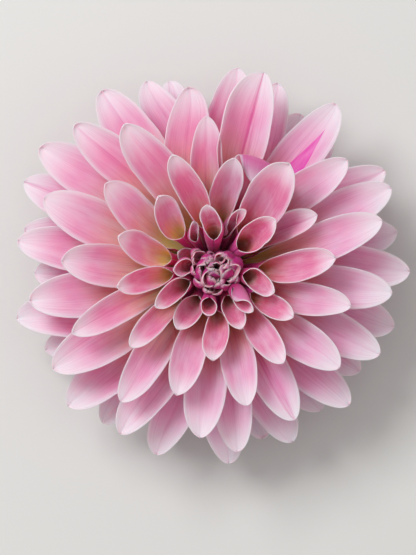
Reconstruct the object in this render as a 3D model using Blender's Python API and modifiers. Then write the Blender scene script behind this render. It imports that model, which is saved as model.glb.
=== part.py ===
"""A double dahlia flower, cut short and lying on its back, face up.

Metres, +Z up. Z = 0 is the surface that the flower lies on, and the origin is under the centre of its box.
Every petal stands on a domed receptacle at its own place on a golden-angle spiral, petal 0 innermost. All the
petals' midribs are rays of one fan about the dome's centre, so a later petal always lies under an earlier one.
"""

import math

import bmesh
import bpy
import numpy as np

MM = 0.001

# The spiral
GOLDEN_ANGLE = 137.508  # degrees from one petal to the next, clockwise seen from above
FIRST_AZIMUTH = 91.0  # degrees, petal 0
FULL_COUNT = 86  # petals on the whole spiral; most of the lowest ones are not built here
POLAR_FIRST = 30.0  # degrees from the axis to petal 0 on the dome
POLAR_LAST = 99.0  # degrees from the axis to the lowest petal

# The receptacle, stem and calyx, millimetres
DOME_CENTRE_Z = 16.0
DOME_RADIUS = 10.0
GAP = 0.3
STEM_RADIUS = 3.1
STEM_NECK_Z = 5.0
SHEET = 0.5  # thickness of petals and bracts
CALYX_LOBES = 8
CALYX_LOW = 150.0  # degrees from the axis to the cup's lower edge
CALYX_TOP = 113.0  # degrees from the axis to its lobes
BRACTS = 5
BRACT_LENGTH = 17.0
BRACT_WIDTH = 6.4

# The heart of young florets
HEART_ANGLE = 16.5  # degrees, half-angle of the cone that it fills
HEART_FLORETS = 19
HEART_RADIUS = 25.0  # from the dome's centre to the longest young floret's tip

# The petals: the throat is where the tube at the base opens
THROAT = 19.5  # of an outer petal, from the dome's centre
TUBE_SLOPE = 0.098  # tube radius over distance from the dome's centre
ARCH_UP = 5.0  # degrees that a midrib rises above its ray
ARCH_DOWN = 7.0  # degrees that a full-length midrib falls back from there
LONGEST = 68.0
INNER = 24  # petals whose throats stand at a distance from the axis, and whose tips bend down to TIP_HEIGHTS
TIP_HEIGHTS = ((12, 39.0), (20, 47.0), (24, 49.5), (30, 50.0), (38, 51.5), (50, 51.5))  # over the reach

# Each petal's lean off its spiral place in degrees, reach of its tip from the axis and width in millimetres
PETALS = (
    (6, 19.5, 5.8), (-5, 18.2, 4.6), (7, 12.5, 5.0), (0, 24.0, 8.0), (2, 14.9, 4.8),
    (-9, 15.7, 3.0), (-8, 20.0, 6.2), (5, 21.8, 5.8), (-7, 20.5, 3.4), (1, 20.7, 6.2),
    (1, 12.2, 5.0), (0, 12.8, 3.4), (-2, 22.1, 7.4), (7, 37.2, 8.4), (2, 28.8, 6.8),
    (3, 30.6, 7.2), (3, 39.7, 13.0), (-4, 28.8, 7.8), (-7, 28.2, 8.2), (6, 37.7, 9.6),
    (2, 35.7, 7.4), (-4, 34.6, 9.2), (0, 36.6, 8.6), (-6, 31.4, 9.2), (-3, 36.0, 7.0),
    (0, 41.3, 10.2), (6, 52.5, 13.4), (6, 44.2, 10.0), (4, 48.6, 9.6), (6, 39.4, 10.0),
    (-2, 44.2, 10.8), (-6, 42.9, 11.6), (5, 54.4, 12.4), (2, 50.9, 11.0), (-3, 47.4, 10.0),
    (3, 50.1, 12.4), (-3, 47.8, 13.4), (-4, 53.6, 11.6), (0, 53.4, 13.2), (6, 62.6, 13.6),
    (1, 56.4, 13.2), (-1, 59.7, 15.0), (0, 63.4, 12.8), (0, 54.1, 12.8), (-3, 57.9, 14.6),
    (1, 61.1, 13.6),
)

# The lower petals that reach furthest, which give the flower its outline. The others between them aren't built here
LOW_PETALS = {
    52: (5, 67.0, 15.0),
    53: (-4, 61.9, 13.6),
    55: (-5, 64.0, 13.4),
    60: (2, 66.8, 15.4),
    62: (-11, 65.0, 14.6),
    72: (4, 62.9, 13.4),
}

# Distance from the axis at which a petal's margins meet, millimetres, where it isn't the usual one
CLOSURES = {
    0: 10.9, 1: 8.0, 2: 7.4, 3: 11.6, 4: 9.6, 5: 10.4, 6: 12.3, 7: 10.0, 8: 10.0, 9: 10.8, 10: 7.4, 12: 11.5, 14: 14.8,
}

ROWS = 9  # stations along a petal
COLUMNS = 5  # points across it


def smooth(x):
    """Ease from 0 to 1, flat at both ends."""
    x = min(max(x, 0.0), 1.0)
    return x * x * (3.0 - 2.0 * x)


def blend(x, stops):
    """Eased value of a curve given as (position, value) stops."""
    for (x0, v0), (x1, v1) in zip(stops, stops[1:]):
        if x <= x1:
            return v0 + (v1 - v0) * smooth((x - x0) / (x1 - x0))
    return stops[-1][1]


def azimuth(n):
    """Direction in radians of the place of petal n on the spiral."""
    return math.radians(FIRST_AZIMUTH - GOLDEN_ANGLE * n)


def ray_elevation(n):
    """Elevation in radians of the ray that petal n follows: equal steps of area down the dome."""
    first = math.cos(math.radians(POLAR_FIRST))
    last = math.cos(math.radians(POLAR_LAST))
    return math.asin(first + (last - first) * n / (FULL_COUNT - 1))


def arch(rho):
    """Radians by which every midrib stands above its ray, at a distance rho from the dome's centre."""
    up = ARCH_UP * smooth((rho - DOME_RADIUS) / 20.0)
    down = ARCH_DOWN * (max(rho - 30.0, 0.0) / (LONGEST - 30.0)) ** 1.5
    return math.radians(up - down)


def midrib_angle(n, rho, bend=0.0, tip=100.0):
    """Elevation in radians of a point of the midrib of petal n, seen from the dome's centre."""
    bent = max((rho - DOME_RADIUS) / (tip - DOME_RADIUS), 0.0)
    return ray_elevation(n) + arch(rho) + bend * bent ** 2


def tip_distance(n, reach):
    """Distance from the dome's centre at which the midrib of petal n is as far from the axis as its reach."""
    low, high = DOME_RADIUS, 90.0
    for _ in range(40):
        rho = (low + high) / 2
        if rho * math.cos(midrib_angle(n, rho)) < reach:
            low = rho
        else:
            high = rho
    return low


def throat_distance(n, closure, tip, bend):
    """Distance from the dome's centre at which the closed tube of petal n ends that far from the axis."""
    low, high = DOME_RADIUS, tip - 1.2
    for _ in range(40):
        rho = (low + high) / 2
        angle = midrib_angle(n, rho, bend, tip)
        if rho * math.cos(angle) - 2 * TUBE_SLOPE * rho * math.sin(angle + 0.05) < closure:
            low = rho
        else:
            high = rho
    return low


def petal_frame(n, petal):
    """Sizes of petal n: where it starts, opens and ends, how far its tip bends down and its tube's radius."""
    reach, width = petal[1], petal[2]
    start = DOME_RADIUS + GAP + SHEET * 0.5
    end = tip_distance(n, reach)
    bend = 0.0
    throat = THROAT
    if n < INNER:
        rise = blend(reach, TIP_HEIGHTS) - DOME_CENTRE_Z
        if math.hypot(rise, reach) < end:
            end = math.hypot(rise, reach)
            bend = math.atan2(rise, reach) - midrib_angle(n, end)
        closure = CLOSURES.get(n, blend(n, ((0, 11.0), (12, 12.5), (20, 14.0))))
        throat = throat_distance(n, closure, end, bend)
    tube = min(TUBE_SLOPE * throat * blend(n, ((6, 1.0), (14, 0.84))), 0.47 * width)
    return start, throat, end, bend, tube


def cup_angle(n, p, width):
    """Half-angle in radians of the curl at a share p of the way from throat to tip. Wide petals lie flatter."""
    usual = blend(n, ((0, 7.0), (24, 9.6), (50, 13.0)))
    middle = blend(n, ((0, 100), (12, 86), (24, 64), (40, 52), (85, 42))) * min(usual / width, 1.0)
    throat = blend(n, ((0, 138), (24, 124), (51, 98), (85, 80)))
    if p < 0.5:
        return math.radians(throat + (middle - throat) * (max(p, 0.0) / 0.5) ** 0.6)
    return math.radians(blend(p, ((0.5, middle), (1.0, 0.6 * middle))))


def petal_point(n, petal, s, u):
    """Point of petal n at a share s of its length and u across it, from -1 to 1."""
    lean, _, width = petal
    start, throat, end, bent, tube = petal_frame(n, petal)
    rho = start + (end - start) * s
    p = (rho - throat) / (end - throat)
    angle = midrib_angle(n, rho, bent, end)
    step = 0.05
    turn = (midrib_angle(n, rho + step, bent, end) - midrib_angle(n, rho - step, bent, end)) / (2 * step)
    slope = angle + math.atan(rho * turn)
    short = blend(n, ((0, 1.0), (14, 0.0)))
    widest = 0.56 - 0.16 * short
    boat = 0.35 - 0.35 * short
    over = min(max((p - widest) / (1 - widest), 0.0), 1.0)
    taper = max(1.0 - over ** 2.2, 0.02) ** 0.53
    full = cup_angle(n, p, width)
    half = tube * min(rho / throat, 1.0) + (width / 2 - tube) * smooth((p + 0.15) / (widest + 0.15))
    bend = half * taper ** boat / math.sin(min(full, math.pi / 2))
    curl = full * taper ** (1.0 - boat)
    side = bend * math.sin(curl * u)
    height = bend * (1.0 - math.cos(curl * u))
    out = rho * math.cos(angle) - height * math.sin(slope)
    up = DOME_CENTRE_Z + rho * math.sin(angle) + height * math.cos(slope)
    way = azimuth(n) + math.radians(lean) * smooth((p - 0.15) / 0.85)
    return (
        (out * math.cos(way) - side * math.sin(way)) * MM,
        (out * math.sin(way) + side * math.cos(way)) * MM,
        up * MM,
    )


def material(name, colour, roughness):
    made = bpy.data.materials.new(name)
    made.use_nodes = True
    shader = made.node_tree.nodes["Principled BSDF"]
    shader.inputs["Base Color"].default_value = (*colour, 1.0)
    shader.inputs["Roughness"].default_value = roughness
    shader.inputs["Metallic"].default_value = 0.0
    return made


def new_object(name, mesh, collection, paint):
    obj = bpy.data.objects.new(name, mesh)
    collection.objects.link(obj)
    mesh.materials.append(paint)
    for face in mesh.polygons:
        face.use_smooth = True
    return obj


def sheet_object(name, rows, columns, point, collection, paint):
    """A grid laid on the surface that point(s, u) gives, then made solid on both sides of it."""
    mesh = bpy.data.meshes.new(name)
    grid = bmesh.new()
    bmesh.ops.create_grid(grid, x_segments=rows - 1, y_segments=columns - 1, size=1.0)
    for vert in grid.verts:
        s = (vert.co.x + 1.0) / 2
        vert.co = point(s, vert.co.y)
    bmesh.ops.triangulate(grid, faces=grid.faces)
    grid.to_mesh(mesh)
    grid.free()
    obj = new_object(name, mesh, collection, paint)
    solid = obj.modifiers.new("thickness", "SOLIDIFY")
    solid.thickness = SHEET * MM
    solid.offset = 0.0
    return obj


def build_petal(n, petal, collection):
    """One ray petal. Inner ones are rosier, outer ones paler."""
    age = n / (FULL_COUNT - 1)
    colour = (0.74 + 0.1 * age, 0.36 + 0.2 * age, 0.5 + 0.18 * age)
    paint = material(f"petal_{n:02d}", colour, 0.55)
    return sheet_object(
        f"petal_{n:02d}", ROWS, COLUMNS, lambda s, u: petal_point(n, petal, s, u), collection, paint
    )


def build_receptacle(collection):
    """The stub of stem and the domed receptacle on it, one piece, turned from a half profile."""
    profile = [(0.0, 0.0), (STEM_RADIUS, 0.0), (STEM_RADIUS - 0.2, STEM_NECK_Z)]
    for degrees in range(-62, 90, 12):
        angle = math.radians(degrees)
        profile.append((DOME_RADIUS * math.cos(angle), DOME_CENTRE_Z + DOME_RADIUS * math.sin(angle)))
    profile.append((0.0, DOME_CENTRE_Z + DOME_RADIUS))
    mesh = bpy.data.meshes.new("receptacle")
    points = [(r * MM, 0.0, z * MM) for r, z in profile]
    mesh.from_pydata(points, [(i, i + 1) for i in range(len(points) - 1)], [])
    obj = new_object("receptacle", mesh, collection, material("stem_green", (0.22, 0.34, 0.1), 0.6))
    turned = obj.modifiers.new("turn", "SCREW")
    turned.steps = 20
    turned.render_steps = 20
    turned.use_merge_vertices = True
    turned.merge_threshold = 0.00001
    turned.use_normal_calculate = True
    return obj


def calyx_point(s, turn):
    """Point of the calyx cup: a collar round the receptacle that flares into pointed lobes."""
    lobe = 0.5 + 0.5 * math.cos(CALYX_LOBES * turn)
    rho = DOME_RADIUS + GAP + SHEET
    if s < 0.5:
        polar = math.radians(CALYX_LOW + (CALYX_TOP - CALYX_LOW) * s / 0.5)
    else:
        polar = math.radians(CALYX_TOP)
        rho += (4.5 + 5.5 * lobe) * (s - 0.5) / 0.5
    out = rho * math.sin(polar)
    return (
        out * math.cos(turn) * MM,
        out * math.sin(turn) * MM,
        (DOME_CENTRE_Z + rho * math.cos(polar)) * MM,
    )


def build_calyx(collection):
    """The inner bracts, grown together at their base into one lobed cup."""
    around = CALYX_LOBES * 4
    stations = 6
    mesh = bpy.data.meshes.new("calyx")
    points = []
    faces = []
    for row in range(stations):
        for step in range(around):
            points.append(calyx_point(row / (stations - 1), 2 * math.pi * step / around))
    for row in range(stations - 1):
        for step in range(around):
            after = (step + 1) % around
            faces.append((
                row * around + step,
                row * around + after,
                (row + 1) * around + after,
                (row + 1) * around + step,
            ))
    mesh.from_pydata(points, [], faces)
    obj = new_object("calyx", mesh, collection, material("calyx_green", (0.42, 0.5, 0.2), 0.5))
    solid = obj.modifiers.new("thickness", "SOLIDIFY")
    solid.thickness = SHEET * MM
    solid.offset = 0.0
    return obj


def bract_point(k, s, u):
    """Point of an outer bract: it leaves the stem's neck, arches out and bends down to the surface."""
    way = 2 * math.pi * (k + 0.2) / BRACTS
    out = STEM_RADIUS + GAP + SHEET + BRACT_LENGTH * s * 0.86
    rise = STEM_NECK_Z - 1.6 + 2.6 * math.sin(math.pi * min(s * 1.05, 1.0)) - (STEM_NECK_Z - 1.9) * s ** 1.6
    half = max(BRACT_WIDTH / 2 * (0.42 + 0.58 * smooth(s / 0.55)), 0.3)
    if s > 0.55:
        half = max(BRACT_WIDTH / 2 * (1.0 - ((s - 0.55) / 0.45) ** 2) ** 0.7, 0.4)
    side = half * u
    lift = 0.5 * half * u * u * 0.4
    return (
        (out * math.cos(way) - side * math.sin(way)) * MM,
        (out * math.sin(way) + side * math.cos(way)) * MM,
        (rise + lift) * MM,
    )


def build_bract(k, collection):
    """One of the outer green bracts, bent back onto the surface."""
    paint = material(f"bract_{k}", (0.2, 0.36, 0.09), 0.5)
    return sheet_object(f"bract_{k}", 6, 4, lambda s, u: bract_point(k, s, u), collection, paint)


def cone_mesh(name, base, tip, base_radius, tip_radius, sides):
    """A closed tapered rod from base to tip."""
    along = np.array(tip) - np.array(base)
    length = float(np.linalg.norm(along))
    along /= length
    across = np.cross(along, (0.0, 1.0, 0.0))
    across /= np.linalg.norm(across)
    other = np.cross(along, across)
    mesh = bpy.data.meshes.new(name)
    solid = bmesh.new()
    bmesh.ops.create_cone(
        solid, cap_ends=True, segments=sides, radius1=base_radius, radius2=tip_radius, depth=length
    )
    middle = (np.array(base) + np.array(tip)) / 2
    for vert in solid.verts:
        x, y, z = vert.co
        vert.co = middle + x * across + y * other + z * along
    bmesh.ops.recalc_face_normals(solid, faces=solid.faces)
    solid.to_mesh(mesh)
    solid.free()
    return mesh


def build_heart(collection, guides):
    """The young florets at the centre, still pressed together: rods on the same spiral, united with a core."""
    paint = material("heart", (0.42, 0.06, 0.2), 0.6)
    low = DOME_CENTRE_Z + DOME_RADIUS + GAP
    core = cone_mesh(
        "heart", (0.0, 0.0, low * MM), (0.0, 0.0, (DOME_CENTRE_Z + 20.0) * MM), 2.7 * MM, 4.2 * MM, 16
    )
    heart = new_object("heart", core, collection, paint)
    for k in range(HEART_FLORETS):
        share = math.sqrt((k + 0.6) / HEART_FLORETS)
        polar = math.radians(HEART_ANGLE) * share
        way = azimuth(-1 - (HEART_FLORETS - k))
        lean = np.array((math.sin(polar) * math.cos(way), math.sin(polar) * math.sin(way), math.cos(polar)))
        centre = np.array((0.0, 0.0, DOME_CENTRE_Z))
        reach = HEART_RADIUS - 4.5 * (1.0 - share) + 0.9 * math.sin(2.4 * k)
        mesh = cone_mesh(
            f"young_{k:02d}",
            (centre + lean * 13.0) * MM,
            (centre + lean * reach) * MM,
            1.15 * MM,
            0.75 * MM,
            6,
        )
        rod = bpy.data.objects.new(f"young_{k:02d}", mesh)
        guides.objects.link(rod)
        rod.hide_render = True
        rod.display_type = "WIRE"
    unite = heart.modifiers.new("florets", "BOOLEAN")
    unite.operation = "UNION"
    unite.operand_type = "COLLECTION"
    unite.collection = guides
    unite.solver = "EXACT"
    unite.use_self = True
    return heart


def centre_over_origin(objects):
    """Move every object so that the origin is under the centre of the flower's box."""
    graph = bpy.context.evaluated_depsgraph_get()
    corners = []
    for obj in objects:
        shown = obj.evaluated_get(graph)
        corners.extend(tuple(vert.co) for vert in shown.data.vertices)
    corners = np.array(corners)
    low, high = corners.min(axis=0), corners.max(axis=0)
    shift = np.array((-(low[0] + high[0]) / 2, -(low[1] + high[1]) / 2, -low[2]))
    for obj in bpy.data.objects:
        obj.location = shift


def main():
    for obj in list(bpy.data.objects):
        bpy.data.objects.remove(obj, do_unlink=True)
    collection = bpy.data.collections.new("dahlia")
    guides = bpy.data.collections.new("guides")
    bpy.context.scene.collection.children.link(collection)
    bpy.context.scene.collection.children.link(guides)
    parts = [build_receptacle(collection), build_calyx(collection)]
    for k in range(BRACTS):
        parts.append(build_bract(k, collection))
    parts.append(build_heart(collection, guides))
    for n, petal in [*enumerate(PETALS), *LOW_PETALS.items()]:
        parts.append(build_petal(n, petal, collection))
    centre_over_origin(parts)


main()
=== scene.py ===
"""A double dahlia flower that lies on its back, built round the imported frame, with its stage."""

import math
import random

import bmesh
import bpy
from bpy.props import FloatProperty, FloatVectorProperty, IntProperty, PointerProperty
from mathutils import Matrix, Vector


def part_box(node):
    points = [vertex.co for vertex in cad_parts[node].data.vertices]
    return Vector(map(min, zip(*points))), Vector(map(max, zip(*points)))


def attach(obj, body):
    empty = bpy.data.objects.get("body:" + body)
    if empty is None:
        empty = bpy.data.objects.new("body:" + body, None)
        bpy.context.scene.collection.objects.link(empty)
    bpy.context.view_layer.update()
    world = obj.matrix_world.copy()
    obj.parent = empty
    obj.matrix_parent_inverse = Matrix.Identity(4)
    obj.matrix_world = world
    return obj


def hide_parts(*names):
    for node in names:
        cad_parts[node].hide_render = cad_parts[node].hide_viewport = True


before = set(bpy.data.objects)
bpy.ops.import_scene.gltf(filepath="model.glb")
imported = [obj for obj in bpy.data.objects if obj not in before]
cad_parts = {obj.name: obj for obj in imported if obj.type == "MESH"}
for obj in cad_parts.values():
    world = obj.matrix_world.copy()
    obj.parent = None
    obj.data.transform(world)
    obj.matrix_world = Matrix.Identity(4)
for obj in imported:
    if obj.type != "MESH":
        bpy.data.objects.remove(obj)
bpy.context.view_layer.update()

bl_info = {
    "name": "Dahlia flower",
    "version": (1, 0, 0),
    "blender": (4, 5, 0),
    "location": "View3D > Sidebar > Dahlia",
    "description": "Petals, young florets, calyx and bracts of a cut dahlia",
    "category": "Add Mesh",
}

BASE_LOW, BASE_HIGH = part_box("receptacle")
DOME_RADIUS = (BASE_HIGH.x - BASE_LOW.x) / 2
CENTRE = Vector(((BASE_LOW.x + BASE_HIGH.x) / 2, (BASE_LOW.y + BASE_HIGH.y) / 2, BASE_HIGH.z - DOME_RADIUS))
MM = 0.001
BODY = "root"

# Every petal starts a little over the dome. Its midrib rises over a first stretch and falls back further out.
START = DOME_RADIUS + 0.0005
RISE_LENGTH = 0.02
FALL_START = 0.03
FALL_LENGTH = 0.038
FALL_POWER = 1.5
LONGEST = 0.09
SHORTEST_BLADE = 0.0012
HALVINGS = 40

# Each petal's lean off its spiral place in degrees, reach of its tip from the axis and width in millimetres
PETALS = (
    (6, 19.5, 5.8), (-5, 18.2, 4.6), (7, 12.5, 5.0), (0, 24.0, 8.0), (2, 14.9, 4.8),
    (-9, 15.7, 3.0), (-8, 20.0, 6.2), (5, 21.8, 5.8), (-8, 20.5, 3.4), (1, 20.7, 6.2),
    (1, 12.2, 5.0), (0, 12.8, 3.4), (-2, 22.1, 7.4), (7, 37.2, 8.4), (2, 28.8, 6.8),
    (3, 30.6, 7.2), (3, 39.7, 13.6), (-4, 28.8, 7.8), (-8, 28.2, 8.6), (6, 37.7, 9.6),
    (2, 35.7, 7.4), (-4, 34.6, 9.2), (0, 36.6, 8.6), (-6, 31.4, 9.2), (-3, 36.0, 7.0),
    (0, 41.3, 10.2), (6, 52.5, 13.4), (6, 44.2, 10.0), (4, 48.6, 9.6), (6, 39.4, 10.0),
    (-2, 44.2, 10.8), (-6, 42.9, 11.6), (5, 54.4, 12.4), (2, 50.9, 11.0), (-3, 47.4, 10.0),
    (3, 50.1, 12.4), (-3, 47.8, 13.4), (-4, 53.6, 11.6), (0, 53.4, 13.2), (6, 62.6, 13.6),
    (1, 56.4, 13.2), (-1, 59.7, 15.0), (0, 63.4, 12.8), (0, 54.1, 12.8), (-3, 57.9, 14.6),
    (1, 61.1, 13.6), (-5, 60.0, 12.8), (-10, 57.6, 14.6), (2, 58.9, 12.8), (-3, 59.2, 14.6),
    (-2, 64.6, 15.6), (-1, 58.6, 12.6), (5, 67.0, 15.2), (-4, 61.9, 13.6), (-2, 63.8, 14.6),
    (-5, 64.0, 13.4), (4, 61.0, 12.8), (-1, 63.0, 13.4), (-6, 62.4, 12.6), (-5, 62.1, 13.2),
    (2, 66.8, 15.6), (-1, 60.2, 13.4), (-11, 65.0, 14.6), (3, 62.4, 13.2), (4, 60.8, 13.4),
    (3, 66.8, 14.6), (-4, 59.7, 13.0), (-4, 61.1, 13.2), (9, 63.7, 13.4), (2, 57.2, 12.6),
    (-4, 57.6, 13.2), (0, 56.0, 12.6), (4, 62.9, 13.4), (0, 58.0, 13.0), (0, 57.2, 12.8),
    (-12, 60.2, 13.0), (0, 58.0, 12.8), (4, 57.3, 12.6), (3, 62.4, 13.2), (0, 58.0, 12.6),
    (2, 57.6, 12.6), (-9, 62.4, 13.0), (0, 56.0, 12.6), (0, 57.0, 12.6), (0, 57.0, 12.6),
    (3, 57.3, 12.4),
)

# Distance from the axis at which a petal's margins meet, in millimetres, where it isn't the usual one
CLOSURES = {
    0: 8.6, 1: 8.0, 2: 7.0, 3: 9.8, 4: 9.0, 5: 8.6, 6: 9.6, 7: 9.0, 8: 9.2, 9: 9.8,
    10: 7.0, 12: 10.4, 14: 13.8,
}
USUAL_CLOSURES = ((0, 11.0), (12, 12.5), (20, 14.0))
FIRST_OPEN = 24

# Young florets, in degrees and millimetres: azimuth, polar angle, throat, tip, width, inward bend, twist,
# curl at the middle, curl at the tip, crumple
YOUNG = (
    (59, 13.5, 22.6, 25.4, 3.0, 0, 0, 128, 100, 0.2), (-5, 17.0, 19.5, 26.0, 4.4, -3, 50, 100, 60, 0.5),
    (243, 13.5, 20.0, 25.6, 5.0, -3, -35, 105, 62, 0.7), (-39, 16.0, 16.5, 26.2, 5.4, 10, 40, 66, 44, 0.9),
    (165, 14.5, 16.5, 26.0, 5.4, 5, -55, 74, 44, 1.0), (215, 7.0, 18.0, 24.6, 5.0, 0, 30, 84, 52, 0.8),
    (45, 6.0, 18.5, 25.8, 4.4, 2, 75, 92, 56, 1.0), (330, 4.5, 18.0, 25.2, 4.6, 0, -70, 88, 52, 1.0),
    (104, 11.5, 14.5, 18.0, 3.0, 2, 20, 90, 60, 0.6), (128, 14.0, 17.5, 25.2, 4.2, 4, -50, 88, 52, 1.0),
    (38, 21.0, 17.0, 26.0, 4.4, 8, 35, 80, 48, 0.8), (63, 21.0, 14.5, 17.5, 3.2, 3, -10, 80, 50, 0.6),
    (-26, 22.5, 17.0, 25.6, 4.4, 5, -35, 92, 52, 0.8), (-72, 18.0, 17.5, 25.4, 4.8, 4, 30, 84, 50, 0.7),
    (107, 20.0, 14.5, 17.0, 2.4, 2, 10, 110, 90, 0.3), (205, 19.5, 17.0, 25.4, 4.8, 8, -25, 72, 44, 0.8),
    (150, 21.5, 17.0, 25.4, 4.2, 3, 30, 96, 56, 0.7), (277, 23.5, 17.0, 25.0, 4.0, 3, 20, 98, 60, 0.6),
    (303, 23.5, 17.0, 25.4, 4.2, 8, -30, 72, 44, 0.8), (226, 23.5, 17.0, 25.2, 4.2, 7, 25, 78, 46, 0.8),
    (-12, 27.5, 14.5, 18.0, 2.6, 2, 28, 80, 50, 0.4), (141, 26.0, 16.5, 24.4, 3.2, 5, -8, 84, 50, 0.6),
    (188, 20.5, 17.0, 24.8, 3.6, 3, 18, 92, 56, 0.6), (290, 9.5, 18.0, 25.4, 4.8, 5, -50, 80, 48, 1.0),
    (330, 26.0, 16.5, 25.0, 3.8, 6, 16, 76, 46, 0.7), (22, 12.5, 18.0, 26.2, 4.4, 0, -60, 84, 50, 0.9),
    (254, 24.0, 16.5, 25.0, 3.8, 4, -16, 92, 54, 0.6), (84, 15.0, 14.5, 17.5, 2.8, 2, 30, 80, 50, 0.6),
    (342, 18.5, 17.5, 26.4, 4.4, 9, -26, 70, 44, 0.9), (262, 18.0, 17.5, 25.8, 4.4, 8, -30, 74, 44, 0.9),
)

# Petals before this one bend to a height over the floor that goes with their reach, both in millimetres
LOWERED = 24
TIP_HEIGHTS = ((12, 39.0), (20, 47.0), (24, 49.5), (30, 50.0), (38, 51.5), (50, 51.5))

# Short tubes that are rosy and not golden inside
ROSY = (2, 4, 5, 8, 10)

# Petals that are turned, rolled, bent, folded or streaked more than their neighbours
ODD_PETALS = {
    1: {"Twist": math.radians(40), "Side Roll": 1.0},
    8: {"Twist": math.radians(-35), "Side Roll": 0.9},
    11: {
        "Azimuth": math.radians(10), "Elevation": math.radians(61), "Throat": 16.5 * MM, "Tip": 25.6 * MM,
        "Bend From": 19.0 * MM, "Tip Bend": math.radians(13), "Width": 2.9 * MM, "Tube": 1.4 * MM,
        "Middle Curl": math.radians(70), "Tip Curl": math.radians(40),
        "Keel": 0.6, "Age": -0.2, "Point": 0.7,
    },
    22: {"Streak": 0.5},
    24: {"Twist": math.radians(-10), "Side Roll": 0.7, "Streak": 0.5},
    28: {"Streak": 0.45},
    29: {
        "Lean": math.radians(1.5), "Elevation": math.radians(28.5), "Tip": 54.0 * MM,
        "Fold From": 41.8 * MM, "Fold Radius": 2.6 * MM, "Fold": math.radians(158),
        "Width": 9.8 * MM, "Widest": 0.5, "Fullness": 3.0, "Point": 0.6,
        "Middle Curl": math.radians(38), "Tip Curl": math.radians(24), "Keel": 0.0, "Wave": 0.02,
        "Streak": 0.1, "Age": 0.1,
    },
    30: {"Streak": 0.35},
    42: {"Side Roll": 0.8, "Streak": 0.9},
    43: {"Streak": 0.8},
    50: {"Side Roll": -0.35, "Streak": 1.0, "Width": 6.3 * MM},
}


def linear(red, green, blue):
    """Scene-linear colour of an everyday 0 to 255 one."""
    parts = (red / 255, green / 255, blue / 255)
    return tuple(c / 12.92 if c <= 0.04045 else ((c + 0.055) / 1.055) ** 2.4 for c in parts)


def colour_property(name, description, red, green, blue):
    return FloatVectorProperty(
        name=name, description=description, subtype="COLOR", size=3, min=0.0, max=1.0,
        default=linear(red, green, blue),
    )


def length_property(name, description, millimetres):
    return FloatProperty(
        name=name, description=description, default=millimetres * MM, subtype="DISTANCE", unit="LENGTH"
    )


def angle_property(name, description, degrees):
    return FloatProperty(
        name=name, description=description, default=math.radians(degrees), subtype="ANGLE", unit="ROTATION"
    )


# Outer bracts and calyx lobes: their numbers, and what all of them share
BRACTS = 5
LOBES = 8
BRACT_CENTRE = Vector((CENTRE.x, CENTRE.y, 0.0048))
BRACT_SIZES = {
    "Rows": 30, "Columns": 15,
    "Elevation": math.radians(-4), "Start": 0.0036, "Throat": 0.0042, "Tip": 0.0186,
    "Rise": math.radians(11), "Rise Length": 0.004,
    "Fall": math.radians(20.5), "Fall Start": 0.007, "Fall Length": 0.0116,
    "Tube": 0.0013, "Width": 0.0033, "Widest": 0.5, "Point": 2.2,
    "Throat Curl": 0.5, "Middle Curl": 0.35, "Tip Curl": 0.3, "Wave": 0.1, "Thickness": 0.0004, "Keel": 0.1,
}
CALYX_SIZES = {
    "Rows": 30, "Columns": 17,
    "Elevation": math.radians(-58), "Start": 0.0108, "Throat": 0.0112, "Tip": 0.0208,
    "Rise": math.radians(38), "Rise Length": 0.0042, "Fall": 0.0,
    "Tube": 0.003, "Width": 0.0052, "Widest": 0.4, "Point": 2.2,
    "Throat Curl": 0.7, "Middle Curl": 0.5, "Tip Curl": 0.3, "Wave": 0.08, "Thickness": 0.0004, "Keel": 0.05,
}

# Stem: radius and height in millimetres from its moist pith up to the dome, and the ribs along it
STEM_PROFILE = (
    (0.0, 1.2), (1.3, 1.2), (1.55, 0.2), (1.8, 0.0), (2.8, 0.0), (3.08, 0.25),
    (3.0, 1.5), (2.9, 4.2), (3.1, 5.2),
)
DOME_SKIN = 9.95
AROUND = 72
RIBS = 9
RIB_DEPTH = 0.035
RIB_TOP = 5.5

# Colours of the inner petals, of the florets, and the painted glow of the side that is lit through
INNER_LOW = linear(206, 84, 118)
INNER_MIDDLE = linear(218, 112, 148)
INNER_HOLLOW = linear(158, 104, 66)
INNER_BACK = linear(184, 22, 116)
ROSY_HOLLOW = linear(184, 80, 100)
# Painted glow: golden tones given to the upper left throats in place of light shining through them
PAINTED_GLOW_HOLLOW = linear(246, 208, 112)
PAINTED_GLOW_LOW = linear(255, 176, 158)
PAINTED_GLOW_MIDDLE = linear(232, 116, 156)
FLORET_INSIDE = linear(238, 132, 156)
FLORET_LIP = linear(250, 178, 186)
FLORET_TIP = linear(255, 196, 196)
FLORET_RIM = linear(252, 176, 186)
WEDGE = linear(232, 70, 172)
OUTER_BACK_LOW = linear(214, 80, 140)
OUTER_RIM = linear(243, 208, 225)
BACK_STREAK = linear(226, 52, 160)
BRACT_DARK = linear(60, 92, 36)
BRACT_VEIN = linear(150, 170, 96)
CALYX_DARK = linear(150, 150, 80)
CALYX_VEIN = linear(206, 200, 140)
STEM_DARK = linear(70, 98, 40)
FLOOR = linear(214, 214, 212)

# Lights: name, place, size and power. They all look at a point just over the floor.
LIGHTS = (
    ("key", (-0.55, 0.5, 0.95), 0.5, 10.6),
    ("fill", (0.9, -0.3, 0.9), 1.0, 1.0),
    ("top", (0.0, 0.1, 1.5), 1.0, 2.2),
)
LIT_POINT = Vector((0, 0, 0.02))
SKY_COLOUR = (1.0, 0.98, 0.96, 1)
SKY_STRENGTH = 0.42
FLOOR_HALF = 3.0
SENSOR_WIDTH = 36.0
TIP_HEIGHT = CENTRE.z + 0.006


class DahliaSpiral(bpy.types.PropertyGroup):
    """How the petals stand on the receptacle."""

    golden_angle: angle_property("Golden angle", "Clockwise turn from one petal to the next", 137.508)
    first_azimuth: angle_property("First azimuth", "Direction of petal 0", 91.0)
    polar_first: angle_property("First polar angle", "From the axis to petal 0 on the dome", 30.0)
    polar_last: angle_property("Last polar angle", "From the axis to the lowest petal on the dome", 99.0)


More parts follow.
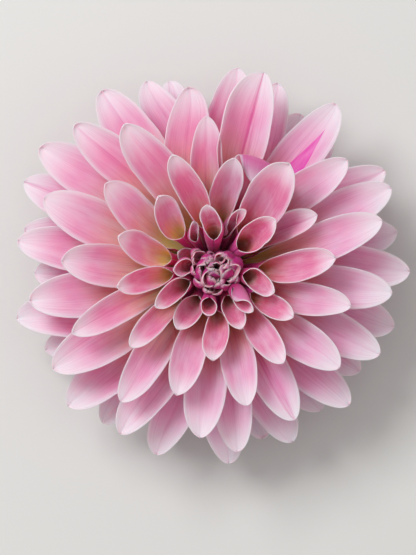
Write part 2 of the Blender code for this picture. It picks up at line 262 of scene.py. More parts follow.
class DahliaPetals(bpy.types.PropertyGroup):
    """Sizes that all petals share."""

    throat: length_property("Throat", "Where an outer petal's gutter opens, from the dome's centre", 19.5)
    tube_slope: FloatProperty(
        name="Tube slope", description="Radius of a petal's tube over its distance out", default=0.098
    )
    thickness: length_property("Thickness", "Thickness of a petal", 0.42)
    arch_up: angle_property("Rise", "How far a midrib rises above its ray", 5.0)
    arch_down: angle_property("Fall", "How far a full-length midrib falls back", 7.0)
    rows: IntProperty(name="Rows", description="Points along a petal", default=58, min=8)
    columns: IntProperty(name="Columns", description="Points across a petal", default=23, min=5)


class DahliaColours(bpy.types.PropertyGroup):
    """Colours of the petals and the green parts."""

    hollow: colour_property("Hollow", "Deep in a petal's base", 226, 176, 84)
    low: colour_property("Lower petal", "Inside, above the throat", 246, 156, 152)
    middle: colour_property("Middle petal", "Inside, half way up", 238, 166, 196)
    tip: colour_property("Tip", "Inside, at the tip and margins", 246, 222, 231)
    rim: colour_property("Rim", "The edge of a petal", 253, 238, 244)
    back_low: colour_property("Lower back", "Outside, near the base", 176, 14, 100)
    back_high: colour_property("Upper back", "Outside, near the tip", 236, 170, 204)
    streak: colour_property("Streak", "Veins and streaks", 196, 52, 134)
    green: colour_property("Green", "Stem and outer bracts", 92, 122, 48)
    pale_green: colour_property("Pale green", "Calyx", 176, 178, 96)


class DahliaStage(bpy.types.PropertyGroup):
    """Floor, lights and camera."""

    distance: length_property("Camera height", "Camera height over the floor", 1000.0)
    seen: length_property("Seen height", "Height of the view at the petals' tips", 177.6)
    across: length_property("Camera offset X", "Camera from the flower's axis", -1.92)
    along: length_property("Camera offset Y", "Camera from the flower's axis", -3.04)


class Value:
    """A number, colour or shape that leaves a node. Arithmetic on it adds Math nodes."""

    def __init__(self, nodes, socket):
        self.nodes = nodes
        self.socket = socket

    def of(self, name):
        """Another output of the same node."""
        return Value(self.nodes, self.socket.node.outputs[name])

    def __add__(self, other):
        return self.nodes.maths("ADD", self, other)

    def __sub__(self, other):
        return self.nodes.maths("SUBTRACT", self, other)

    def __rsub__(self, other):
        return self.nodes.maths("SUBTRACT", other, self)

    def __mul__(self, other):
        return self.nodes.maths("MULTIPLY", self, other)

    def __truediv__(self, other):
        return self.nodes.maths("DIVIDE", self, other)

    def __rtruediv__(self, other):
        return self.nodes.maths("DIVIDE", other, self)

    def __pow__(self, other):
        return self.nodes.maths("POWER", self, other)

    def __abs__(self):
        return self.nodes.maths("ABSOLUTE", self)

    __radd__ = __add__
    __rmul__ = __mul__


class Nodes:
    """Adds nodes to one tree, for shaders and for geometry."""

    def __init__(self, tree):
        self.tree = tree

    def plug(self, value, socket):
        """Link a value to a socket, or set the socket to a plain one."""
        if isinstance(value, Value):
            self.tree.links.new(value.socket, socket)
        else:
            socket.default_value = value

    def add(self, kind, settings=None, sockets=None, output=0):
        """A node of that type: its settings first, then the values or links of its sockets."""
        node = self.tree.nodes.new(kind)
        for name, value in (settings or {}).items():
            setattr(node, name, value)
        for key, value in (sockets or {}).items():
            self.plug(value, node.inputs[key])
        return Value(self, node.outputs[output])

    def maths(self, operation, *values):
        """A Math node."""
        return self.add("ShaderNodeMath", {"operation": operation}, dict(enumerate(values)))

    def ease(self, value, low, high, start=0.0, end=1.0):
        """Smooth step of a value between two limits."""
        return self.add(
            "ShaderNodeMapRange", {"interpolation_type": "SMOOTHSTEP"},
            {0: value, 1: low, 2: high, 3: start, 4: end},
        )

    def mix(self, factor, first, second):
        """Colour mix. A plain colour is given without its alpha."""
        first, second = (c if isinstance(c, Value) else (*c, 1.0) for c in (first, second))
        return self.add("ShaderNodeMix", {"data_type": "RGBA"}, {0: factor, 6: first, 7: second}, output=2)

    def noise(self, spot, scale, detail, roughness=0.5):
        """Noise in three dimensions."""
        return self.add(
            "ShaderNodeTexNoise", {"noise_dimensions": "3D"},
            {"Vector": spot, "Scale": scale, "Detail": detail, "Roughness": roughness},
        )

    def vector(self, x, y, z):
        """A vector from its three numbers."""
        return self.add("ShaderNodeCombineXYZ", None, {0: x, 1: y, 2: z})


# ---------------------------------------------------------------- geometry

PETAL_INPUTS = {
    "Azimuth": 0.0, "Lean": 0.0, "Elevation": 0.5, "Start": START, "Throat": 0.019, "Tip": 0.05,
    "Rise": 0.087, "Rise Length": RISE_LENGTH,
    "Fall": 0.12, "Fall Start": FALL_START, "Fall Length": FALL_LENGTH,
    "Tip Bend": 0.0, "Bend From": 0.03, "Fold From": 1.0, "Fold Radius": 0.003, "Fold": 0.0,
    "Tube": 0.0018, "Width": 0.005, "Widest": 0.5, "Fullness": 2.0, "Point": 0.56, "Boat": 0.3,
    "Crowding": 1.3, "Throat Curl": 2.4, "Middle Curl": 1.0, "Tip Curl": 0.6, "Side Roll": 0.0, "Twist": 0.0,
    "Keel": 0.12, "Wave": 0.06, "Crumple": 0.0, "Thickness": 0.0004, "Seed": 0.0, "Age": 0.0, "Streak": 0.0,
}


def petal_tree(name, inside, rim, back):
    """Geometry nodes that lay a grid on a petal's surface, thicken it and give it its three finishes."""
    tree = bpy.data.node_groups.new(name, "GeometryNodeTree")
    tree.interface.new_socket("Geometry", in_out="INPUT", socket_type="NodeSocketGeometry")
    for label, kind, value in [
        ("Rows", "NodeSocketInt", 40), ("Columns", "NodeSocketInt", 21),
        ("Centre", "NodeSocketVector", (0, 0, 0)),
        *((label, "NodeSocketFloat", value) for label, value in PETAL_INPUTS.items()),
    ]:
        tree.interface.new_socket(label, in_out="INPUT", socket_type=kind).default_value = value
    tree.interface.new_socket("Geometry", in_out="OUTPUT", socket_type="NodeSocketGeometry")
    nodes = Nodes(tree)
    given = nodes.add("NodeGroupInput")

    # A flat grid: its rows run along the petal and crowd towards the tip, its columns run across.
    start, throat, tip = given.of("Start"), given.of("Throat"), given.of("Tip")
    grid = nodes.add(
        "GeometryNodeMeshGrid", None,
        {"Size X": 1.0, "Size Y": 1.0, "Vertices X": given.of("Rows"), "Vertices Y": given.of("Columns")},
    )
    place = nodes.add("ShaderNodeSeparateXYZ", None, {0: nodes.add("GeometryNodeInputPosition")})
    reverse = nodes.maths("MAXIMUM", 0.5 - place, 0.0)
    raw = 1.0 - reverse ** given.of("Crowding")
    even = place.of("Y") * 2.0
    wide = even * (1.25 - 0.25 * even * even)

    def stored(mesh, label, value):
        return nodes.add(
            "GeometryNodeStoreNamedAttribute", {"data_type": "FLOAT", "domain": "POINT"},
            {"Geometry": mesh, "Name": label, "Value": value},
        )

    def named(label):
        return nodes.add("GeometryNodeInputNamedAttribute", {"data_type": "FLOAT"}, {"Name": label})

    mesh = stored(grid, "share", raw)
    mesh = stored(mesh, "across", wide)
    share, across = named("share"), named("across")
    rho = start + (tip - start) * share
    along = (rho - throat) / (tip - throat)
    mesh = stored(mesh, "along", along)
    for label in ("Age", "Seed", "Streak"):
        mesh = stored(mesh, label.lower(), given.of(label))

    # The midrib: its elevation at a distance from the dome's centre, its slope there, and its fold.
    def angle_at(distance):
        """The midrib's elevation seen from the dome's centre."""
        up = given.of("Rise") * nodes.ease(distance, start, start + given.of("Rise Length"))
        over = nodes.maths("MAXIMUM", distance - given.of("Fall Start"), 0.0) / given.of("Fall Length")
        bent = (distance - given.of("Bend From")) / (tip - given.of("Bend From"))
        inward = given.of("Tip Bend") * nodes.maths("MAXIMUM", bent, 0.0) ** 2.0
        return given.of("Elevation") + up - given.of("Fall") * over ** FALL_POWER + inward

    step = 0.00005
    beyond = nodes.maths("MAXIMUM", rho - given.of("Fold From"), 0.0)
    rho = rho - beyond
    angle = angle_at(rho)
    turn = (angle_at(rho + step) - angle_at(rho - step)) / (2 * step)
    slope = angle + nodes.maths("ARCTANGENT", rho * turn)
    radius = given.of("Fold Radius")
    fold = nodes.maths("MINIMUM", beyond / radius, given.of("Fold"))
    straight = beyond - fold * radius
    cos_fold, sin_fold = nodes.maths("COSINE", fold), nodes.maths("SINE", fold)
    forward = radius * sin_fold + straight * cos_fold
    lift = radius * (1.0 - cos_fold) + straight * sin_fold

    # The cross-section: an arc that is closed in the tube, opens at the throat and tapers to the tip.
    opening = nodes.maths("MINIMUM", nodes.maths("MAXIMUM", along / 0.5, 0.0), 1.0) ** 0.6
    curl = (
        given.of("Throat Curl")
        + (given.of("Middle Curl") - given.of("Throat Curl")) * opening
        + (given.of("Tip Curl") - given.of("Middle Curl")) * nodes.ease(along, 0.5, 1.0)
    )
    open_tube = given.of("Tube") * nodes.maths("MINIMUM", rho / throat, 1.0)
    wing = (given.of("Width") - given.of("Tube")) * nodes.ease(along, -0.15, given.of("Widest"))
    over = nodes.add("ShaderNodeMapRange", None, {0: along, 1: given.of("Widest"), 2: 1.0})
    taper = nodes.maths("MAXIMUM", 1.0 - over ** given.of("Fullness"), 0.0004) ** given.of("Point")
    ripple = nodes.noise(nodes.vector(along * 2.4, given.of("Seed") * 31.0, across * 0.4), 1.6, 1.0)
    half = (open_tube + wing) * (1.0 + (ripple - 0.5) * 0.14)

    bend = half * taper ** given.of("Boat") / nodes.maths("SINE", nodes.maths("MINIMUM", curl, math.pi / 2))
    roll = 1.0 + nodes.maths("MAXIMUM", given.of("Side Roll") * across, 0.0) * nodes.ease(along, 0.0, 0.35)
    turned = curl * across * roll * taper ** (1.0 - given.of("Boat"))
    side = bend * nodes.maths("SINE", turned)
    wave = nodes.maths("SINE", along * 9.0 + given.of("Seed") * 40.0) * across * across * given.of("Wave")
    keel = given.of("Keel") * (abs(across) - 0.4) * nodes.ease(along, 0.35, 1.0)
    crumple = nodes.noise(nodes.vector(along * 2.0, across * 1.3, given.of("Seed") * 17.0), 2.2, 1.0)
    height = bend * (1.0 - nodes.maths("COSINE", turned)) + half * (wave + keel)
    height = height + given.of("Crumple") * (crumple - 0.5) * nodes.ease(along, -0.3, 0.5)
    twist = given.of("Twist") * nodes.ease(along, -0.2, 1.0)
    cos_twist, sin_twist = nodes.maths("COSINE", twist), nodes.maths("SINE", twist)
    pivot = height - bend * 0.6
    side, height = (
        side * cos_twist - pivot * sin_twist,
        side * sin_twist + pivot * cos_twist + bend * 0.6,
    )

    # The surface: each point stands on the midrib, at its place to the side and its height over it.
    cos_slope, sin_slope, tilt = nodes.maths("COSINE", slope), nodes.maths("SINE", slope), slope + fold
    out = rho * nodes.maths("COSINE", angle) + forward * cos_slope - lift * sin_slope
    out = out - height * nodes.maths("SINE", tilt)
    up = rho * nodes.maths("SINE", angle) + forward * sin_slope + lift * cos_slope
    up = up + height * nodes.maths("COSINE", tilt)
    way = given.of("Azimuth") + given.of("Lean") * nodes.ease(along, 0.15, 1.0)
    cos_way, sin_way = nodes.maths("COSINE", way), nodes.maths("SINE", way)
    spot = nodes.vector(out * cos_way - side * sin_way, out * sin_way + side * cos_way, up)
    spot = nodes.add("ShaderNodeVectorMath", {"operation": "ADD"}, {0: spot, 1: given.of("Centre")})
    face = nodes.add("GeometryNodeSetPosition", None, {"Geometry": mesh, "Position": spot})

    # The wall: the surface is thickened downwards, closed, smoothed and given its three finishes.
    flipped = nodes.add("GeometryNodeFlipFaces", None, {"Mesh": face})
    thin = 1.0 - 0.6 * abs(across) ** 4.0
    wall = nodes.add(
        "GeometryNodeExtrudeMesh", {"mode": "FACES"},
        {"Mesh": flipped, "Offset Scale": given.of("Thickness") * thin, "Individual": False},
    )
    outer = nodes.add(
        "GeometryNodeStoreNamedAttribute", {"data_type": "INT", "domain": "FACE"},
        {"Geometry": wall, "Name": "layer", "Value": wall.of("Top") * 2.0 + wall.of("Side")},
    )
    joined = nodes.add("GeometryNodeJoinGeometry")
    tree.links.new(outer.socket, joined.socket.node.inputs[0])
    tree.links.new(face.socket, joined.socket.node.inputs[0])
    closed = nodes.add("GeometryNodeMergeByDistance", None, {"Geometry": joined, "Distance": 0.000001})
    smooth = nodes.add("GeometryNodeSetShadeSmooth", None, {"Geometry": closed})
    done = nodes.add("GeometryNodeRealizeInstances", None, {"Geometry": smooth})
    layer = nodes.add("GeometryNodeInputNamedAttribute", {"data_type": "INT"}, {"Name": "layer"})
    for number, finish in enumerate((inside, rim, back)):
        chosen = nodes.add(
            "FunctionNodeCompare", {"data_type": "INT", "operation": "EQUAL"}, {2: layer, 3: number}
        )
        done = nodes.add(
            "GeometryNodeSetMaterial", None, {"Geometry": done, "Selection": chosen, "Material": finish}
        )
    result = tree.nodes.new("NodeGroupOutput")
    tree.links.new(done.socket, result.inputs[0])
    return tree


def grown(name, tree, sizes):
    """A plain mesh object that a petal tree makes from these sizes."""
    holder = bpy.data.objects.new("growing", bpy.data.meshes.new("growing"))
    bpy.context.scene.collection.objects.link(holder)
    modifier = holder.modifiers.new("petal", "NODES")
    modifier.node_group = tree
    sockets = {item.name: item.identifier for item in tree.interface.items_tree if item.in_out == "INPUT"}
    for label, value in sizes.items():
        modifier[sockets[label]] = value
    shown = holder.evaluated_get(bpy.context.evaluated_depsgraph_get())
    mesh = bpy.data.meshes.new_from_object(shown)
    bpy.data.objects.remove(holder, do_unlink=True)
    mesh.name = name
    piece = bpy.data.objects.new(name, mesh)
    bpy.context.scene.collection.objects.link(piece)
    return piece


def settle(piece, replaced=()):
    """Ride on the body and stand for CAD nodes."""
    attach(piece, BODY)
    if replaced:
        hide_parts(*replaced)
    return piece


def stop_blend(x, stops):
    """Eased value of a curve given as (position, value) stops."""
    for (x0, v0), (x1, v1) in zip(stops, stops[1:]):
        if x <= x1:
            t = min(max((x - x0) / (x1 - x0), 0.0), 1.0)
            return v0 + (v1 - v0) * t * t * (3.0 - 2.0 * t)
    return stops[-1][1]


def ray_elevation(spiral, share):
    """Elevation of a petal's ray at a share of the way down the spiral, in equal steps of the dome's area."""
    first, last = math.cos(spiral.polar_first), math.cos(spiral.polar_last)
    return math.asin(max(min(first + (last - first) * share, 1.0), -1.0))


def midrib_angle(shape, elevation, rho, bend=0.0, tip=1.0):
    """Elevation of a midrib's point seen from the dome's centre."""
    t = min(max((rho - DOME_RADIUS) / RISE_LENGTH, 0.0), 1.0)
    risen = shape.arch_up * t * t * (3 - 2 * t)
    fallen = shape.arch_down * (max(rho - FALL_START, 0.0) / FALL_LENGTH) ** FALL_POWER
    bent = max((rho - DOME_RADIUS) / (tip - DOME_RADIUS), 0.0)
    return elevation + risen - fallen + bend * bent ** 2


def tip_distance(shape, elevation, reach):
    """Distance from the dome's centre at which a midrib is that far from the axis."""
    low, high = DOME_RADIUS, LONGEST
    for _ in range(HALVINGS):
        rho = (low + high) / 2
        if rho * math.cos(midrib_angle(shape, elevation, rho)) < reach:
            low = rho
        else:
            high = rho
    return low


def throat_distance(shape, elevation, closure, tip, bend):
    """Distance from the dome's centre at which a petal's closed tube ends that far from the axis."""
    low, high = DOME_RADIUS, tip
    for _ in range(HALVINGS):
        rho = (low + high) / 2
        angle = midrib_angle(shape, elevation, rho, bend, tip)
        if rho * math.cos(angle) - 2 * shape.tube_slope * rho * math.sin(angle + 0.05) < closure:
            low = rho
        else:
            high = rho
    return low


def petal_sizes(n, spiral, shape):
    """Sizes of petal n for the petal tree."""
    lean, reach, width = PETALS[n]
    share = n / (len(PETALS) - 1)
    elevation = ray_elevation(spiral, share)
    tip = tip_distance(shape, elevation, reach * MM)
    bend = 0.0
    rise = stop_blend(reach, TIP_HEIGHTS) * MM - CENTRE.z
    if n < LOWERED and math.hypot(rise, reach * MM) < tip:
        tip = math.hypot(rise, reach * MM)
        bend = math.atan2(rise, reach * MM) - midrib_angle(shape, elevation, tip)
    closure = CLOSURES.get(n, stop_blend(n, USUAL_CLOSURES)) * MM
    throat = shape.throat
    if n < FIRST_OPEN:
        throat = throat_distance(shape, elevation, closure, tip - SHORTEST_BLADE, bend)
    usual = stop_blend(n, ((0, 7.0), (24, 9.6), (50, 13.0)))
    middle = stop_blend(n, ((0, 100), (12, 86), (24, 64), (40, 52), (85, 42))) * min(usual / width, 1.0)
    tube = min(shape.tube_slope * throat * stop_blend(n, ((6, 1.0), (14, 0.84))), 0.47 * width * MM)
    short = stop_blend(n, ((0, 1.0), (14, 0.0)))
    chance = random.Random(n * 7 + 3)
    sizes = {
        "Rows": shape.rows, "Columns": shape.columns, "Centre": CENTRE,
        "Azimuth": spiral.first_azimuth - spiral.golden_angle * n, "Lean": math.radians(lean),
        "Elevation": elevation, "Start": START, "Throat": throat, "Tip": tip,
        "Tip Bend": bend, "Bend From": DOME_RADIUS if bend else throat + 0.35 * (tip - throat),
        "Rise": shape.arch_up, "Fall": shape.arch_down,
        "Tube": tube, "Width": width * MM / 2,
        "Throat Curl": math.radians(stop_blend(n, ((0, 179), (23, 178), (25, 128), (51, 100), (85, 80)))),
        "Boat": 0.35 - 0.35 * short, "Crowding": 1.3 + 0.5 * short, "Point": 0.53,
        "Widest": 0.56 - 0.16 * short, "Fullness": 2.2,
        "Middle Curl": math.radians(middle), "Tip Curl": math.radians(0.6 * middle),
        "Twist": math.radians(chance.uniform(-5, 5)), "Side Roll": chance.uniform(-0.06, 0.06),
        "Thickness": shape.thickness, "Seed": chance.random(), "Streak": 0.5 * chance.random() ** 3,
        "Age": share if n in ROSY else max(share, 0.12),
    }
    sizes.update(ODD_PETALS.get(n, {}))
    return sizes


def floret_sizes(k):
    """Sizes of young floret k for the petal tree."""
    azimuth, polar, throat, tip, width, bend, twist, middle, end, crumple = YOUNG[k]
    chance = random.Random(k * 13 + 5)
    return {
        "Rows": 34, "Columns": 17, "Centre": CENTRE, "Azimuth": math.radians(azimuth),
        "Elevation": math.radians(90 - polar), "Start": START, "Throat": throat * MM, "Tip": tip * MM,
        "Rise": math.radians(2), "Fall": 0.0,
        "Tip Bend": math.radians(bend), "Bend From": (throat + 0.3 * (tip - throat)) * MM,
        "Tube": min(0.055 * throat, 0.45 * width) * MM, "Width": width * MM / 2,
        "Widest": 0.5, "Fullness": 2.8, "Point": 0.42, "Boat": 0.2, "Crowding": 1.6,
        "Throat Curl": math.radians(177), "Middle Curl": math.radians(middle),
        "Tip Curl": math.radians(end), "Side Roll": chance.uniform(-0.3, 0.3),
        "Twist": math.radians(twist), "Crumple": 1.2 * crumple * MM, "Wave": 0.2, "Keel": 0.3,
        "Thickness": 0.00042, "Seed": chance.random(), "Age": -0.2, "Streak": 0.2,
    }


def turned_mesh(name, profile):
    """A closed mesh from a profile of radii and heights in millimetres, turned round the axis and ribbed."""
    solid = bmesh.new()
    rings = []
    for r, z in profile:
        if r == 0.0:
            rings.append([solid.verts.new((CENTRE.x, CENTRE.y, z * MM))])
            continue
        ring = []
        for step in range(AROUND):
            turn = 2 * math.pi * step / AROUND
            groove = RIB_DEPTH * max(math.cos(turn * RIBS), 0.0) if z < RIB_TOP else 0.0
            ribbed = r * (1.0 - groove)
            ring.append(solid.verts.new((
                CENTRE.x + ribbed * math.cos(turn) * MM, CENTRE.y + ribbed * math.sin(turn) * MM, z * MM
            )))
        rings.append(ring)
    for lower, upper in zip(rings, rings[1:]):
        for step in range(AROUND):
            after = (step + 1) % AROUND
            if len(lower) == 1:
                solid.faces.new((lower[0], upper[after], upper[step]))
            elif len(upper) == 1:
                solid.faces.new((lower[step], lower[after], upper[0]))
            else:
                solid.faces.new((lower[step], lower[after], upper[after], upper[step]))
    bmesh.ops.recalc_face_normals(solid, faces=solid.faces)
    mesh = bpy.data.meshes.new(name)
    solid.to_mesh(mesh)
    solid.free()
    mesh.shade_smooth()
    return mesh


# ---------------------------------------------------------------- finishes


def new_material(name):
    """An empty material, its nodes and its shader."""
    material = bpy.data.materials.new(name)
    material.use_nodes = True
    shader = material.node_tree.nodes["Principled BSDF"]
    return material, Nodes(material.node_tree), shader


def petal_fields(nodes):
    """What petal finishes vary with. Age is 0 to 1 down the spiral, and below 0 in the young florets."""
    def named(label):
        return nodes.add("ShaderNodeAttribute", {"attribute_name": label}, output="Fac")

    return {label: named(label) for label in ("along", "across", "age", "seed", "streak")}


def vein_pattern(nodes, at, fineness, length):
    """Long streaks that follow the petal."""
    return nodes.noise(
        nodes.vector(at["across"] * fineness, at["along"] * length, at["seed"] * 60.0), 1.0, 3.0, 0.6
    )


def finish_surface(nodes, shader, colour, bump_height, strength, roughness):
    """Links the colour, roughness and fine relief to the shader."""
    nodes.plug(colour, shader.inputs["Base Color"])
    nodes.plug(roughness, shader.inputs["Roughness"])
    bump = nodes.add(
        "ShaderNodeBump", None, {"Strength": strength, "Distance": 0.0004, "Height": bump_height}
    )
    nodes.plug(bump, shader.inputs["Normal"])
    shader.inputs["Specular IOR Level"].default_value = 0.2
    shader.inputs["Sheen Weight"].default_value = 0.12
    shader.inputs["Sheen Roughness"].default_value = 0.5
    shader.inputs["Subsurface Weight"].default_value = 0.8
    shader.inputs["Subsurface Radius"].default_value = (1.0, 0.45, 0.5)
    shader.inputs["Subsurface Scale"].default_value = 0.003


def inside_material(colours):
    """The face of a petal: golden hollow, rose throat, pink blade, blush tip and margins, fine veins."""
    material, nodes, shader = new_material("petal_inside")
    at = petal_fields(nodes)
    along, age, edge = at["along"], at["age"], abs(at["across"])
    low = nodes.mix(nodes.ease(age, 0.08, 0.36), INNER_LOW, colours.low)
    middle = nodes.mix(nodes.ease(age, 0.08, 0.42), INNER_MIDDLE, colours.middle)
    hollow = nodes.mix(nodes.ease(age, 0.1, 0.3), INNER_HOLLOW, colours.hollow)
    hollow = nodes.mix(nodes.ease(age, 0.1, 0.12), ROSY_HOLLOW, hollow)

    # Painted light: the throats on the upper left side of the flower are made more golden, a painted glow
    # standing in for light that shines through the petals there.
    place = nodes.add("ShaderNodeSeparateXYZ", None, {0: nodes.add("ShaderNodeTexCoord", output="Object")})
    painted_glow = nodes.ease(place.of("Y") * 0.4 - place, 0.0, 0.014) * nodes.ease(age, 0.1, 0.16)
    hollow = nodes.mix(painted_glow * 0.85, hollow, PAINTED_GLOW_HOLLOW)
    low = nodes.mix(painted_glow * 0.6, low, PAINTED_GLOW_LOW)
    middle = nodes.mix(painted_glow * 0.35, middle, PAINTED_GLOW_MIDDLE)

    # From the hollow to the tip, with the painted glow reaching a little further up, then the young florets'
    # own tone and the pale margins
    warm = along - 0.2 * nodes.ease(age, 0.14, 0.4) - 0.07 * painted_glow
    colour = nodes.mix(nodes.ease(warm, -0.25, 0.12), hollow, low)
    colour = nodes.mix(nodes.ease(warm, 0.06, 0.42), colour, middle)
    colour = nodes.mix(nodes.ease(along, 0.66, 1.0), colour, colours.tip)
    floret = nodes.ease(age, -0.05, -0.15)
    colour = nodes.mix(floret * nodes.ease(along, -0.1, 0.35) * 0.85, colour, FLORET_INSIDE)
    colour = nodes.mix(floret * nodes.ease(edge, 0.55, 0.95) * 0.6, colour, FLORET_LIP)
    paling = nodes.ease(edge, 0.7, 1.0) * nodes.ease(along, 0.0, 0.7, 0.15, 0.6)
    colour = nodes.mix(paling, colour, colours.tip)

    # Veins, a streaked centre line, and one petal's magenta wedge
    veins = vein_pattern(nodes, at, 16.0, 0.9)
    lines = nodes.ease(veins, 0.5, 0.72) * nodes.ease(along, 1.0, 0.2, 0.16, 0.36)
    colour = nodes.mix(lines, colour, colours.streak)
    broad = nodes.ease(vein_pattern(nodes, at, 4.5, 0.7), 0.42, 0.62)
    colour = nodes.mix(at["streak"] * nodes.ease(edge, 0.4, 0.0) * broad * 0.8, colour, colours.streak)
    wedge = nodes.ease(0.78 - 0.92 * along - abs(at["across"] + 0.34), 0.0, 0.03)
    colour = nodes.mix(nodes.ease(at["streak"], 0.94, 0.96) * wedge, colour, WEDGE)
    fine = vein_pattern(nodes, at, 38.0, 1.2)
    colour = nodes.mix(nodes.ease(fine, 0.3, 0.75, 0.0, 0.22), colour, colours.streak)
    blotch = vein_pattern(nodes, at, 2.2, 2.6)
    colour = nodes.mix(nodes.ease(blotch, 0.35, 0.75, 0.0, 0.28), colour, colours.tip)
    finish_surface(nodes, shader, colour, fine, 0.3, 0.56 + 0.12 * fine)
    return material


def back_material(colours):
    """The outside of a petal: magenta base and midline, paling to the tip and margins."""
    material, nodes, shader = new_material("petal_back")
    at = petal_fields(nodes)
    along, age, edge = at["along"], at["age"], abs(at["across"])
    base = nodes.mix(nodes.ease(age, 0.1, 0.9), colours.back_low, OUTER_BACK_LOW)
    top = nodes.mix(nodes.ease(age, -0.1, 0.4), INNER_BACK, colours.back_high)
    colour = nodes.mix(nodes.ease(along, -0.1, 0.65), base, top)
    tipped = nodes.ease(along, nodes.ease(age, 0.0, 0.2, 0.9, 0.7), 1.0)
    colour = nodes.mix(tipped * nodes.ease(age, -0.1, 0.2, 0.3, 0.8), colour, colours.tip)
    cream = nodes.ease(age, -0.05, -0.15) * nodes.ease(edge * 0.5 + along, 1.18, 1.36)
    colour = nodes.mix(cream * 0.75, colour, FLORET_TIP)
    paling = nodes.ease(edge, 0.84, 1.0) * nodes.ease(along, 0.05, 0.4) * 0.6
    colour = nodes.mix(paling, colour, colours.tip)
    colour = nodes.mix(at["streak"] * nodes.ease(along, 1.05, 0.55) * 0.9, colour, BACK_STREAK)
    veins = vein_pattern(nodes, at, 18.0, 0.8)
    colour = nodes.mix(nodes.ease(veins, 0.48, 0.7) * 0.4, colour, colours.streak)
    fine = vein_pattern(nodes, at, 38.0, 1.2)
    finish_surface(nodes, shader, colour, fine, 0.3, 0.56 + 0.12 * fine)
    return material


def rim_material(colours):
    """The thin pale edge of a petal. Where the tube is closed, its seam has the colour of the back."""
    material, nodes, shader = new_material("petal_rim")
    at = petal_fields(nodes)
    veins = vein_pattern(nodes, at, 3.0, 9.0)
    edging = nodes.mix(nodes.ease(at["age"], 0.05, 0.4), colours.rim, OUTER_RIM)
    edging = nodes.mix(nodes.ease(at["age"], -0.05, -0.15), edging, FLORET_RIM)
    colour = nodes.mix(nodes.ease(veins, 0.4, 0.75) * 0.3, edging, colours.tip)
    colour = nodes.mix(nodes.ease(at["along"], 0.04, -0.03), colour, colours.back_low)
    finish_surface(nodes, shader, colour, veins, 0.1, 0.5 + 0.1 * veins)
    return material


def leaf_material(name, base, dark, vein):
    """Green leaf tissue with a pale midrib and side veins."""
    material, nodes, shader = new_material(name)
    at = petal_fields(nodes)
    edge = abs(at["across"])
    mottled = nodes.noise(nodes.add("ShaderNodeTexCoord", output="Object"), 420.0, 4.0)
    ribs = nodes.maths("SINE", at["along"] * 26.0 - edge * 5.0)
    colour = nodes.mix(nodes.ease(mottled, 0.35, 0.65), base, dark)
    colour = nodes.mix(nodes.ease(edge, 0.1, 0.0) * 0.7, colour, vein)
    colour = nodes.mix(nodes.ease(ribs, 0.75, 1.0) * 0.25, colour, vein)
    finish_surface(nodes, shader, colour, mottled + ribs * 0.3, 0.35, 0.45 + 0.2 * mottled)
    return material


def stem_material(colours):
    """Ribbed green stem with a paler, moist cut end."""
    material, nodes, shader = new_material("stem")
    place = nodes.add("ShaderNodeTexCoord", output="Object")
    mottled = nodes.noise(place, 350.0, 4.0)
    high = nodes.add("ShaderNodeSeparateXYZ", None, {0: place}).of("Z")
    colour = nodes.mix(nodes.ease(mottled, 0.35, 0.7), colours.green, STEM_DARK)
    colour = nodes.mix(nodes.ease(high, 0.0006, 0.0, 0.0, 0.85), colour, colours.pale_green)
    finish_surface(nodes, shader, colour, mottled, 0.3, 0.4 + 0.25 * mottled)
    return material


def floor_material():
    """Plain pale matt floor."""
    material, _, shader = new_material("floor")
    shader.inputs["Base Color"].default_value = (*FLOOR, 1)
    shader.inputs["Roughness"].default_value = 0.9
    return material


def shared(name, make, *given):
    """The material of that name, made once."""
    return bpy.data.materials.get(name) or make(*given)


def petal_finishes(colours):
    return (
        shared("petal_inside", inside_material, colours),
        shared("petal_rim", rim_material, colours),
        shared("petal_back", back_material, colours),
    )


def petal_group(colours):
    return bpy.data.node_groups.get("petal") or petal_tree("petal", *petal_finishes(colours))


# ---------------------------------------------------------------- operators


class DAHLIA_OT_ray_petals(bpy.types.Operator):
    """Grow every ray petal at its place on the spiral"""

    bl_idname = "dahlia.ray_petals"
    bl_label = "Ray petals"

    def execute(self, context):
        scene = context.scene
        tree = petal_group(scene.dahlia_colours)
        for n in range(len(PETALS)):
            node = f"petal_{n:02d}"
            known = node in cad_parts
            piece = grown(f"ray_{node}", tree, petal_sizes(n, scene.dahlia_spiral, scene.dahlia_petals))
            settle(piece, (node,) if known else ())
        return {"FINISHED"}


class DAHLIA_OT_young_florets(bpy.types.Operator):
    """Grow the crumpled young florets at the heart"""

    bl_idname = "dahlia.young_florets"
    bl_label = "Young florets"

    def execute(self, context):
        tree = petal_group(context.scene.dahlia_colours)
        for k in range(len(YOUNG)):
            piece = grown(f"young_floret_{k:02d}", tree, floret_sizes(k))
            settle(piece, ("heart",) if k == 0 else ())
        return {"FINISHED"}


class DAHLIA_OT_receptacle(bpy.types.Operator):
    """Turn the stub of stem and the receptacle"""

    bl_idname = "dahlia.receptacle"
    bl_label = "Receptacle and stem"

    def execute(self, context):
        profile = list(STEM_PROFILE)
        for degrees in range(-66, 90, 8):
            angle = math.radians(degrees)
            profile.append((DOME_SKIN * math.cos(angle), CENTRE.z / MM + DOME_SKIN * math.sin(angle)))
        profile.append((0.0, CENTRE.z / MM + DOME_SKIN))
        mesh = turned_mesh("stem_and_receptacle", profile)
        mesh.materials.append(shared("stem", stem_material, context.scene.dahlia_colours))
        piece = bpy.data.objects.new(mesh.name, mesh)
        context.scene.collection.objects.link(piece)
        settle(piece, ("receptacle",))
        return {"FINISHED"}


